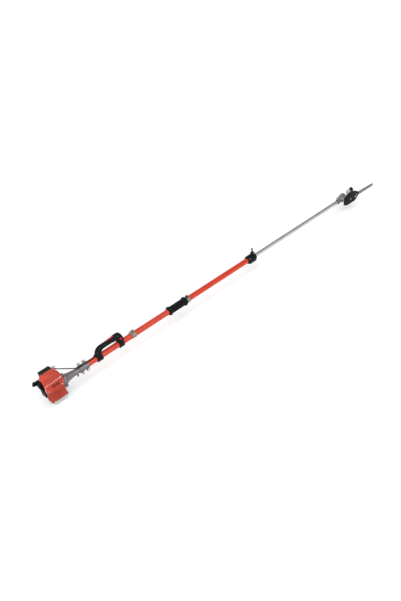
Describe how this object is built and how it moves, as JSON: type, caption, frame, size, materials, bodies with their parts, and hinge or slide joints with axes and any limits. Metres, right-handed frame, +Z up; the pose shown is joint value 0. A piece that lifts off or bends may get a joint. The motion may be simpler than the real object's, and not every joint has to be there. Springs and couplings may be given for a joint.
{
  "type": "telescoping pole saw",
  "caption": "Petrol pole saw: engine with fuel tank, telescoping pole with loop handle and rubber grip, bevel-gear head with guide bar, chain and oil tank.",
  "frame": {"origin": "middle of the fuel tank's flat bottom face, under the engine", "axes": "+X along the pole from the engine to the tip of the guide bar, +Y to the left side of the tool, +Z up"},
  "size_m": [3.1625, 0.136, 0.195],
  "materials": {
    "orange_paint": "glossy orange-red paint on the pole",
    "orange_plastic": "moulded orange-red engine covers",
    "red_plastic": "moulded red controls",
    "black_plastic": "fine grained black plastic",
    "rubber": "matt black rubber",
    "cast_metal": "sand-cast aluminium",
    "aluminium": "anodised tube",
    "steel": "zinc-plated steel",
    "dark_steel": "oiled dark steel",
    "nylon": "natural nylon",
    "ceramic": "glazed ceramic",
    "felt": "filter felt",
    "tank_plastic": "milky translucent polyethylene"
  },
  "bodies": {
    "pole": {"outer_tube": "orange_paint", "engine_cover": "orange_plastic", "muffler_guard": "orange_plastic", "filter_cover": "black_plastic", "starter_housing": "black_plastic", "throttle_cable": "black_plastic", "handle_near": "black_plastic", "handle_far": "black_plastic", "lock_body": "black_plastic", "front_grip": "rubber", "clutch_housing": "cast_metal", "clamp_near": "cast_metal", "clamp_far": "cast_metal", "crankcase_rear": "cast_metal", "crankcase_front": "cast_metal", "cylinder": "cast_metal", "carburetor": "cast_metal", "clamp_bolt_1": "steel", "clamp_bolt_2": "steel", "clamp_bolt_3": "steel", "clamp_bolt_4": "steel", "sling_clamp": "steel", "sling_bolt": "steel", "grip_collar": "steel", "lock_pin": "steel", "muffler": "dark_steel", "guide_bush": "nylon", "spark_plug": "ceramic", "filter_element": "felt", "fuel_tank": "tank_plastic"},
    "crank": {"crankshaft": "steel", "flywheel": "cast_metal", "clutch_shoes": "steel"},
    "piston_set": {"piston": "aluminium", "connecting_rod": "steel"},
    "drive": {"clutch_drum": "steel", "lower_shaft": "steel"},
    "saw_head": {"inner_tube": "aluminium", "inner_bush": "nylon", "gear_case": "cast_metal", "head_bolt": "steel", "guide_bar": "steel", "saw_chain": "dark_steel", "sprocket_cover": "black_plastic", "cover_nut": "steel", "oil_tank": "tank_plastic"},
    "upper_drive": {"upper_shaft": "steel"},
    "sprocket": {"sprocket_shaft": "steel"},
    "recoil": {"starter_pulley": "nylon"},
    "pull_grip": {"starter_grip": "black_plastic"},
    "choke": {"choke_lever": "black_plastic"},
    "primer": {"primer_bulb": "rubber"},
    "tank_cap": {"fuel_cap": "black_plastic"},
    "oil_filler_cap": {"oil_cap": "black_plastic"},
    "trigger": {"throttle_trigger": "black_plastic"},
    "lockout": {"lockout_lever": "red_plastic"},
    "stop_switch": {"stop_button": "red_plastic"},
    "ring": {"sling_ring": "steel"},
    "cam_lever": {"lock_lever": "black_plastic"}
  },
  "joints": [
    {"name": "telescope", "type": "slide", "parent": "pole", "child": "saw_head", "axis": [1, 0, 0], "range_m": [-0.9, 0]},
    {"name": "lever_swing", "type": "hinge", "parent": "pole", "child": "cam_lever", "pos_m": [1.664, 0, 0.117], "axis": [0, 1, 0], "range_deg": [0, 65]},
    {"name": "trigger_pull", "type": "hinge", "parent": "pole", "child": "trigger", "pos_m": [0.452, 0, 0.139], "axis": [0, 1, 0], "range_deg": [0, 18], "stiffness_Nm_per_rad": 0.05, "springref_deg": -22.92},
    {"name": "lockout_press", "type": "hinge", "parent": "pole", "child": "lockout", "pos_m": [0.437, 0, 0.1535], "axis": [0, 1, 0], "range_deg": [-6, 0], "stiffness_Nm_per_rad": 0.06, "springref_deg": 17.19},
    {"name": "stop_press", "type": "slide", "parent": "pole", "child": "stop_switch", "axis": [0, 1, 0], "range_m": [0, 0.003], "stiffness_N_per_m": 200, "springref_m": -0.002},
    {"name": "crank_spin", "type": "hinge", "parent": "pole", "child": "crank", "pos_m": [0.037, 0, 0.085], "axis": [1, 0, 0], "continuous": true},
    {"name": "piston_stroke", "type": "slide", "parent": "pole", "child": "piston_set", "axis": [0, 0, 1], "range_m": [-0.028, 0]},
    {"name": "drive_spin", "type": "hinge", "parent": "pole", "child": "drive", "pos_m": [0.0723, 0, 0.085], "axis": [1, 0, 0], "continuous": true},
    {"name": "upper_shaft_spin", "type": "hinge", "parent": "saw_head", "child": "upper_drive", "pos_m": [2.69, 0, 0.085], "axis": [1, 0, 0], "continuous": true},
    {"name": "sprocket_spin", "type": "hinge", "parent": "saw_head", "child": "sprocket", "pos_m": [2.718, -0.045, 0.085], "axis": [0, 1, 0], "continuous": true},
    {"name": "starter_turn", "type": "hinge", "parent": "pole", "child": "recoil", "pos_m": [-0.067, 0, 0.085], "axis": [1, 0, 0], "range_deg": [0, 1528], "stiffness_Nm_per_rad": 0.002, "springref_deg": -458.37},
    {"name": "starter_pull", "type": "slide", "parent": "pole", "child": "pull_grip", "axis": [-1, 0, 0], "range_m": [0, 0.62]},
    {"name": "choke_turn", "type": "hinge", "parent": "pole", "child": "choke", "pos_m": [-0.05, 0.046, 0.132], "axis": [1, 0, 0], "range_deg": [0, 60]},
    {"name": "primer_press", "type": "slide", "parent": "pole", "child": "primer", "axis": [0, -1, 0], "range_m": [0, 0.004], "stiffness_N_per_m": 150, "springref_m": -0.002},
    {"name": "tank_cap_turn", "type": "hinge", "parent": "pole", "child": "tank_cap", "pos_m": [0.038, -0.036, 0.026], "axis": [1, 0, 0], "continuous": true},
    {"name": "oil_cap_turn", "type": "hinge", "parent": "saw_head", "child": "oil_filler_cap", "pos_m": [2.793, -0.021, 0.135], "axis": [0, -0.7071, 0.7071], "continuous": true},
    {"name": "ring_swing", "type": "hinge", "parent": "pole", "child": "ring", "pos_m": [0.566, 0, 0.114], "axis": [0, 1, 0], "range_deg": [0, 150]}
  ],
  "couplings": [
    {"joint": "upper_shaft_spin", "follows": "drive_spin", "ratio": 1},
    {"joint": "sprocket_spin", "follows": "drive_spin", "ratio": 0.75},
    {"joint": "starter_pull", "follows": "starter_turn", "m_per_rad": 0.0225}
  ]
}
